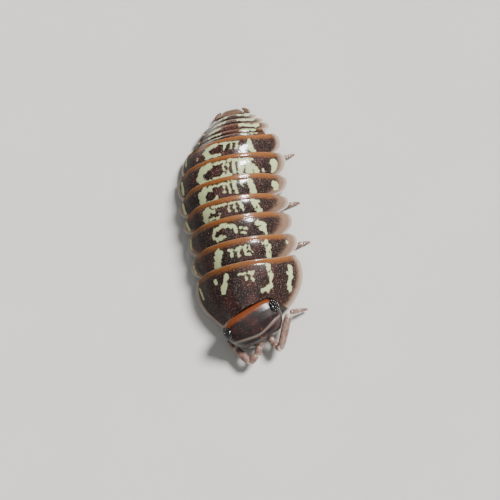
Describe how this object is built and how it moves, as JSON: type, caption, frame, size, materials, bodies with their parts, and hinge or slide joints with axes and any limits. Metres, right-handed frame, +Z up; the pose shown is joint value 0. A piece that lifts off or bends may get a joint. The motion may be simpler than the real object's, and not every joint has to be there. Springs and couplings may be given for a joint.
{
  "type": "woodlouse",
  "caption": "Life-size patterned pill woodlouse, walking, with arched body plates, a broad head, bent antennae and short legs under the plates.",
  "frame": {"origin": "middle of the floor area that the animal covers", "axes": "+X towards the head, +Y the animal's left, +Z up"},
  "size_m": [0.012, 0.0058, 0.0028],
  "materials": {
    "plate": "granular satin cuticle, dark brown with rust bands and pale spots",
    "head": "satin cuticle, dark brown with a rust band",
    "eye": "glossy black facets",
    "limb": "translucent pinkish brown cuticle",
    "pleopod": "soft pale cuticle"
  },
  "bodies": {
    "root": {"antenna_left_flagellum": "limb", "antenna_left_peduncle": "limb", "antenna_right_flagellum": "limb", "antenna_right_peduncle": "limb", "eye_left": "eye", "eye_right": "eye", "head": "head", "leg_left_1": "limb", "leg_left_2": "limb", "leg_left_3": "limb", "leg_left_4": "limb", "leg_left_5": "limb", "leg_left_6": "limb", "leg_left_7": "limb", "leg_right_1": "limb", "leg_right_2": "limb", "leg_right_3": "limb", "leg_right_4": "limb", "leg_right_5": "limb", "leg_right_6": "limb", "leg_right_7": "limb", "mouthparts": "head", "pereonite_1": "plate", "pereonite_2": "plate", "pereonite_3": "plate", "pereonite_4": "plate", "pereonite_5": "plate", "pereonite_6": "plate", "pereonite_7": "plate", "pleonite_1": "plate", "pleonite_2": "plate", "pleonite_3": "plate", "pleonite_4": "plate", "pleonite_5": "plate", "pleopods_1": "pleopod", "pleopods_2": "pleopod", "pleopods_3": "pleopod", "pleopods_4": "pleopod", "pleopods_5": "pleopod", "telson": "plate", "uropod_left": "plate", "uropod_right": "plate"}
  },
  "joints": []
}
